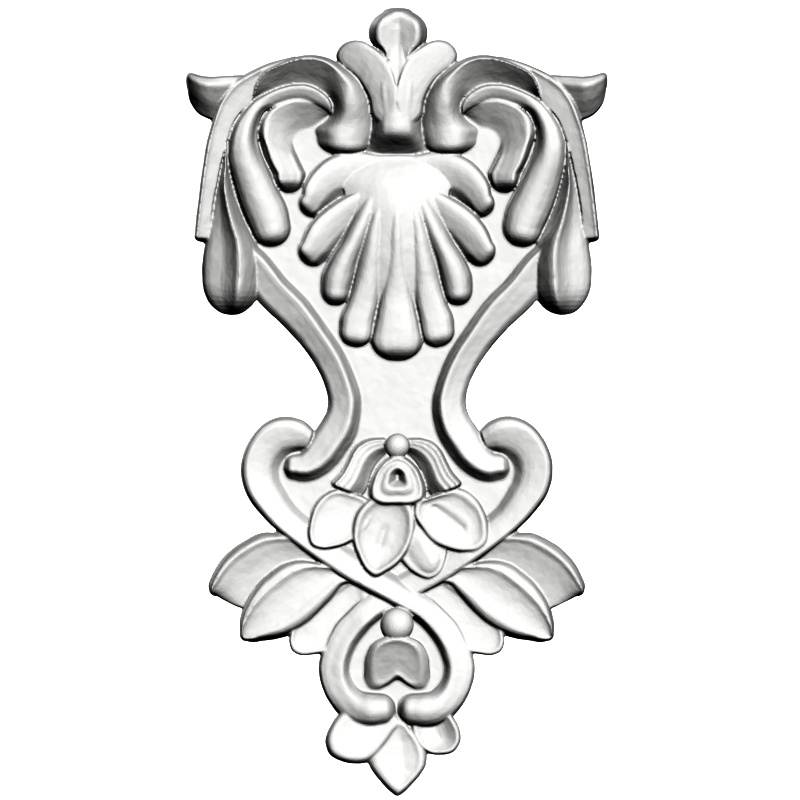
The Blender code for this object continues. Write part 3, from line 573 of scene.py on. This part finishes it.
# Half of the sunk ground's outline, which stays hidden under the carved forms.
GROUND_OUTLINE = [(0, 138), (7, 134), (16, 131), (25, 129), (37, 132), (50, 129), (62, 127),
                  (70, 126), (74, 112), (75, 100), (77, 80), (74, 48), (61, 52), (42, 36),
                  (31, 22), (22, 5), (22, -6), (31, -12.5), (40, -13), (51, -18), (55, -30),
                  (46, -46), (36, -57), (48, -64), (44, -78), (30, -86), (23, -96),
                  (26, -106), (21, -117), (12, -124), (10, -132), (0, -142)]


def carve_beads(bm):
    """The two beads, one over the bud and one under the crossing of the ribbons."""
    for x, z, height, radius in BEADS:
        made = bmesh.ops.create_icosphere(bm, subdivisions=5, radius=radius * UNIT)
        bmesh.ops.translate(bm, vec=(x * UNIT, -height * UNIT, z * UNIT), verts=made["verts"])


def carve_ground(bm):
    """The sunk ground, extruded from its outline on both sides of the middle line."""
    outline = GROUND_OUTLINE + [(-x, z) for x, z in GROUND_OUTLINE[-2:0:-1]]
    verts = [bm.verts.new((x * UNIT, TUCK * UNIT, z * UNIT)) for x, z in outline]
    face = bm.faces.new(verts)
    made = bmesh.ops.extrude_face_region(bm, geom=[face], use_keep_orig=True)["geom"]
    front = [item for item in made if isinstance(item, bmesh.types.BMVert)]
    bmesh.ops.translate(bm, vec=(0, -(TUCK + GROUND) * UNIT, 0), verts=front)
    faces = [face, *(item for item in made if isinstance(item, bmesh.types.BMFace))]
    faces += [near for edge in face.edges for near in edge.link_faces]
    bmesh.ops.recalc_face_normals(bm, faces=list(set(faces)))


FORMS = (carve_ground, carve_finial, carve_scrolls, carve_curled_leaves, carve_middle_lobes,
         carve_drops, carve_outer_bands, carve_shell, carve_straps, carve_ribbons,
         carve_leaves, carve_flower, carve_boss, carve_drop, carve_beads)


def evaluated(scene, mesh, modifiers):
    """The mesh after the given modifiers: (kind, {setting: value}) in order."""
    block = bpy.data.objects.new("carving_block", mesh)
    scene.collection.objects.link(block)
    for kind, settings in modifiers:
        modifier = block.modifiers.new(kind.lower(), kind)
        for name, value in settings.items():
            setattr(modifier, name, value)
    graph = bpy.context.evaluated_depsgraph_get()
    graph.update()
    result = bpy.data.meshes.new_from_object(block.evaluated_get(graph))
    bpy.data.objects.remove(block)
    bpy.data.meshes.remove(mesh)
    return result


def fused_relief(context, carving):
    """One skin around all the forms, softened, faceted and trimmed flat at the back."""
    bm = bmesh.new()
    for carve in FORMS:
        carve(bm)
    forms = bpy.data.meshes.new("carved_forms")
    bm.to_mesh(forms)
    bm.free()
    ripple = bpy.data.textures.new("gouge_ripple", "CLOUDS")
    ripple.noise_scale = carving.gouge_width
    fused = evaluated(context.scene, forms, [
        ("REMESH", {"mode": "VOXEL", "voxel_size": carving.cell}),
        ("SMOOTH", {"factor": 0.5, "iterations": carving.softening}),
        ("DISPLACE", {"texture": ripple, "texture_coords": "LOCAL", "mid_level": 0.5,
                      "strength": carving.gouge_depth}),
    ])
    faceted = evaluated(context.scene, fused, [
        ("DECIMATE", {"ratio": min(1.0, carving.facets / (2 * len(fused.polygons)))}),
    ])
    bm = bmesh.new()
    bm.from_mesh(faceted)
    bpy.data.meshes.remove(faceted)
    everything = [*bm.verts, *bm.edges, *bm.faces]
    cut = bmesh.ops.bisect_plane(bm, geom=everything, dist=ON_THE_BACK, plane_co=(0, 0, 0),
                                 plane_no=(0, 1, 0), clear_outer=True)["geom_cut"]
    rim = [item for item in cut if isinstance(item, bmesh.types.BMEdge)]
    bmesh.ops.triangle_fill(bm, use_beauty=True, edges=rim, normal=(0, 1, 0))
    bmesh.ops.triangulate(bm, faces=[face for face in bm.faces if len(face.verts) > 3])
    bmesh.ops.recalc_face_normals(bm, faces=bm.faces[:])
    mesh = bpy.data.meshes.new("carved_relief")
    bm.to_mesh(mesh)
    bm.free()
    return mesh


def srgb(code):
    """A hex colour, as a painter's swatch gives it, turned to linear RGBA."""
    shares = [int(code[i:i + 2], 16) / 255 for i in (0, 2, 4)]
    linear = [s / 12.92 if s <= 0.04045 else ((s + 0.055) / 1.055) ** 2.4 for s in shares]
    return (*linear, 1.0)


def add_node(tree, kind, links=None, values=None, **settings):
    """Add a node with its settings, its input values and its links from other sockets."""
    node = tree.nodes.new(kind)
    for name, value in settings.items():
        setattr(node, name, value)
    for name, value in (values or {}).items():
        node.inputs[name].default_value = value
    for name, socket in (links or {}).items():
        tree.links.new(socket, node.inputs[name])
    return node


def new_material(name):
    """A new material with an empty node tree."""
    material = bpy.data.materials.new(name)
    material.use_nodes = True
    material.node_tree.nodes.clear()
    return material


def gesso_material(finish):
    """White gesso: chalk and glue, brushed thinly over close-grained carved wood."""
    # Chalk scatters light evenly, so the coat is matt and reads as pure form. The brush
    # leaves it a little thicker and whiter in places, with a fine tooth in the surface.
    material = new_material("white_gesso")
    tree = material.node_tree
    place = add_node(tree, "ShaderNodeTexCoord").outputs["Object"]
    patches = add_node(tree, "ShaderNodeTexNoise", {"Vector": place},
                       {"Scale": 1 / PATCH_WIDTH, "Detail": 2.0, "Roughness": 0.5})
    # The chalk's real tooth is finer than a picture shows, so it is drawn at 0.5 mm.
    tooth = add_node(tree, "ShaderNodeTexNoise", {"Vector": place},
                     {"Scale": 1 / TOOTH_WIDTH, "Detail": 3.0, "Roughness": 0.6})
    colour = add_node(tree, "ShaderNodeMix", {"Factor": patches.outputs["Fac"]},
                      data_type="RGBA")
    colour.inputs["A"].default_value = (*finish.gesso_thin, 1.0)
    colour.inputs["B"].default_value = (*finish.gesso, 1.0)
    roughness = add_node(tree, "ShaderNodeMapRange", {"Value": tooth.outputs["Fac"]},
                         {"To Min": GESSO_ROUGHNESS[0], "To Max": GESSO_ROUGHNESS[1]})
    bump = add_node(tree, "ShaderNodeBump", {"Height": tooth.outputs["Fac"]},
                    {"Strength": 0.25, "Distance": TOOTH_DEPTH})
    # Chalk in glue bends light like glass, but its pores break up most of the gloss.
    shader = add_node(
        tree, "ShaderNodeBsdfPrincipled",
        {"Base Color": colour.outputs["Result"], "Roughness": roughness.outputs["Result"],
         "Normal": bump.outputs["Normal"]},
        {"IOR": 1.5, "Specular IOR Level": 0.2},
    )
    add_node(tree, "ShaderNodeOutputMaterial", {"Surface": shader.outputs["BSDF"]})
    return material


def paper_material(name, colour, glow):
    """Seamless studio paper: a matt, even sheet that is lit for itself."""
    material = new_material(name)
    tree = material.node_tree
    place = add_node(tree, "ShaderNodeTexCoord").outputs["Object"]
    # The pulp's cloudiness barely shows.
    pulp = add_node(tree, "ShaderNodeTexNoise", {"Vector": place}, {"Scale": 1 / PULP_WIDTH})
    rough = add_node(tree, "ShaderNodeMapRange", {"Value": pulp.outputs["Fac"]},
                     {"To Min": PAPER_ROUGHNESS[0], "To Max": PAPER_ROUGHNESS[1]})
    shader = add_node(
        tree, "ShaderNodeBsdfPrincipled", {"Roughness": rough.outputs["Result"]},
        {"Base Color": (*colour, 1.0), "Emission Color": (*colour, 1.0),
         "Emission Strength": glow, "Specular IOR Level": 0.1},
    )
    add_node(tree, "ShaderNodeOutputMaterial", {"Surface": shader.outputs["BSDF"]})
    return material


class OnlayCarving(bpy.types.PropertyGroup):
    """How finely the onlay is carved."""

    cell: bpy.props.FloatProperty(
        name="Cell", description="Size of the cells that fuse the carved forms into one skin",
        default=0.5 * UNIT, min=0.0002, max=0.003, precision=5, subtype="DISTANCE", unit="LENGTH")
    softening: bpy.props.IntProperty(
        name="Softening", description="Passes that round the edges and fill the valleys",
        default=4, min=0, max=40)
    gouge_width: bpy.props.FloatProperty(
        name="Gouge width", description="Width of the shallow marks that the gouge leaves",
        default=8 * UNIT, min=0.001, max=0.05, precision=4, subtype="DISTANCE", unit="LENGTH")
    gouge_depth: bpy.props.FloatProperty(
        name="Gouge depth", description="Depth of the shallow marks that the gouge leaves",
        default=0.5 * UNIT, min=0.0, max=0.002, precision=5, subtype="DISTANCE", unit="LENGTH")
    facets: bpy.props.IntProperty(
        name="Facets", description="Triangles that the finished skin keeps before its trim",
        default=95000, min=20000, max=240000)


class OnlayFinish(bpy.types.PropertyGroup):
    """Colours of the onlay and its stage."""

    gesso: bpy.props.FloatVectorProperty(
        name="Gesso", description="Colour of the gesso where it lies thick",
        default=srgb("F1F1F0")[:3], min=0, max=1, subtype="COLOR")
    gesso_thin: bpy.props.FloatVectorProperty(
        name="Thin gesso", description="Colour of the gesso where it lies thin",
        default=srgb("EEEEED")[:3], min=0, max=1, subtype="COLOR")
    floor: bpy.props.FloatVectorProperty(
        name="Floor", description="Colour of the floor paper",
        default=srgb("F0F0F0")[:3], min=0, max=1, subtype="COLOR")
    backdrop: bpy.props.FloatVectorProperty(
        name="Backdrop", description="Colour of the backdrop paper",
        default=srgb("FFFFFF")[:3], min=0, max=1, subtype="COLOR")


class OnlayStage(bpy.types.PropertyGroup):
    """Camera, light and paper around the onlay."""

    view_height: bpy.props.FloatProperty(
        name="View height", description="Height of the picture at the onlay",
        default=0.32, min=0.05, max=2.0, subtype="DISTANCE", unit="LENGTH")
    view_offset: bpy.props.FloatVectorProperty(
        name="View offset", description="Middle of the picture, right of and above the onlay's",
        size=2, default=(0.0013, 0.0006), precision=4, subtype="XYZ", unit="LENGTH")
    distance: bpy.props.FloatProperty(
        name="Camera distance", description="Distance from the back of the onlay to the camera",
        default=1.2, min=0.3, max=5.0, subtype="DISTANCE", unit="LENGTH")
    key_light: bpy.props.FloatProperty(
        name="Key light", description="Strength of the light from the upper right",
        default=3.8, min=0.0, max=20.0)
    back_light: bpy.props.FloatProperty(
        name="Back light", description="Strength of the light on the flat back",
        default=2.4, min=0.0, max=20.0)


class ONLAY_OT_carve(bpy.types.Operator):
    """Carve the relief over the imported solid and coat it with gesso"""

    bl_idname = "onlay.carve"
    bl_label = "Carve Onlay"
    bl_options = {"REGISTER", "UNDO"}

    def execute(self, context):
        mesh = fused_relief(context, context.scene.onlay_carving)
        if not mesh.polygons:
            raise RuntimeError("The carved relief came out empty")
        mesh.materials.append(gesso_material(context.scene.onlay_finish))
        relief = bpy.data.objects.new("carved_relief", mesh)
        context.scene.collection.objects.link(relief)
        # The picture shows each face's own light, so the faces throw none on each other.
        relief.visible_diffuse = False
        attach(relief, "root")
        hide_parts(SOLID)
        return {"FINISHED"}


def add_paper(context, name, place, turn, material):
    """A square sheet of studio paper, turned about X, that is marked as stage."""
    bm = bmesh.new()
    bmesh.ops.create_grid(bm, x_segments=8, y_segments=8, size=PAPER_SIZE / 2)
    turned = Matrix.Rotation(turn, 4, "X")
    bmesh.ops.transform(bm, matrix=Matrix.Translation(place) @ turned, verts=bm.verts[:])
    mesh = bpy.data.meshes.new(name)
    bm.to_mesh(mesh)
    bm.free()
    mesh.materials.append(material)
    sheet = bpy.data.objects.new(name, mesh)
    context.scene.collection.objects.link(sheet)
    sheet.visible_diffuse = False
    sheet.visible_glossy = False


def add_sun(context, name, strength, towards):
    """An even light that comes from the direction towards and casts no shadow."""
    light = bpy.data.lights.new(name, "SUN")
    light.energy = strength
    light.angle = SUN_WIDTH
    light.use_shadow = False
    lamp = bpy.data.objects.new(name, light)
    lamp.rotation_euler = Vector(towards).to_track_quat("Z", "Y").to_euler()
    context.scene.collection.objects.link(lamp)


class ONLAY_OT_stage(bpy.types.Operator):
    """Set up the floor, the backdrop, the lights and the camera"""

    bl_idname = "onlay.stage"
    bl_label = "Set Up Stage"
    bl_options = {"REGISTER", "UNDO"}

    def execute(self, context):
        scene = context.scene
        stage, finish = scene.onlay_stage, scene.onlay_finish
        floor = paper_material("pale_floor_paper", finish.floor, FLOOR_GLOW)
        add_paper(context, "floor", (0, 0, LOW.z - FLOOR_GAP), 0.0, floor)
        backdrop = paper_material("white_backdrop_paper", finish.backdrop, BACKDROP_GLOW)
        add_paper(context, "backdrop", (0, BACKDROP_DISTANCE, 0), math.pi / 2, backdrop)
        add_sun(context, "key_light", stage.key_light, KEY_DIRECTION)
        add_sun(context, "back_light", stage.back_light, BACK_DIRECTION)
        world = bpy.data.worlds.new("studio")
        world.use_nodes = True
        world.node_tree.nodes["Background"].inputs["Color"].default_value = (1, 1, 1, 1)
        world.node_tree.nodes["Background"].inputs["Strength"].default_value = 1.0
        world.cycles_visibility.diffuse = False
        world.cycles_visibility.glossy = False
        scene.world = world
        camera_data = bpy.data.cameras.new("camera")
        camera_data.type = "ORTHO"
        camera_data.ortho_scale = stage.view_height
        camera = bpy.data.objects.new("camera", camera_data)
        right, up = stage.view_offset
        camera.location = (right, -stage.distance, up)
        camera.rotation_euler = (math.pi / 2, 0, 0)
        scene.collection.objects.link(camera)
        scene.camera = camera
        scene.view_settings.view_transform = "Standard"
        scene.view_settings.look = "None"
        scene.view_settings.gamma = PICTURE_GAMMA
        return {"FINISHED"}


class ONLAY_PT_panel(bpy.types.Panel):
    """The onlay's steps and settings"""

    bl_idname = "ONLAY_PT_panel"
    bl_label = "Carved Onlay"
    bl_space_type = "VIEW_3D"
    bl_region_type = "UI"
    bl_category = "Onlay"

    def draw(self, context):
        layout = self.layout
        scene = context.scene
        for title, settings, step in (
            ("Carving", scene.onlay_carving, ONLAY_OT_carve.bl_idname),
            ("Colours", scene.onlay_finish, None),
            ("Stage", scene.onlay_stage, ONLAY_OT_stage.bl_idname),
        ):
            box = layout.box()
            box.label(text=title)
            for name in settings.bl_rna.properties.keys():
                if name not in {"rna_type", "name"}:
                    box.prop(settings, name)
            if step:
                box.operator(step)


CLASSES = (OnlayCarving, OnlayFinish, OnlayStage, ONLAY_OT_carve, ONLAY_OT_stage, ONLAY_PT_panel)


def register():
    """Register the classes and hang their settings on the scene."""
    for cls in CLASSES:
        bpy.utils.register_class(cls)
    bpy.types.Scene.onlay_carving = bpy.props.PointerProperty(type=OnlayCarving)
    bpy.types.Scene.onlay_finish = bpy.props.PointerProperty(type=OnlayFinish)
    bpy.types.Scene.onlay_stage = bpy.props.PointerProperty(type=OnlayStage)


def unregister():
    """Take the settings and the classes away again."""
    del bpy.types.Scene.onlay_stage
    del bpy.types.Scene.onlay_finish
    del bpy.types.Scene.onlay_carving
    for cls in reversed(CLASSES):
        bpy.utils.unregister_class(cls)


def main():
    """Carve the onlay and set up its stage."""
    register()
    bpy.ops.onlay.carve()
    bpy.ops.onlay.stage()


if __name__ == "__main__":
    main()
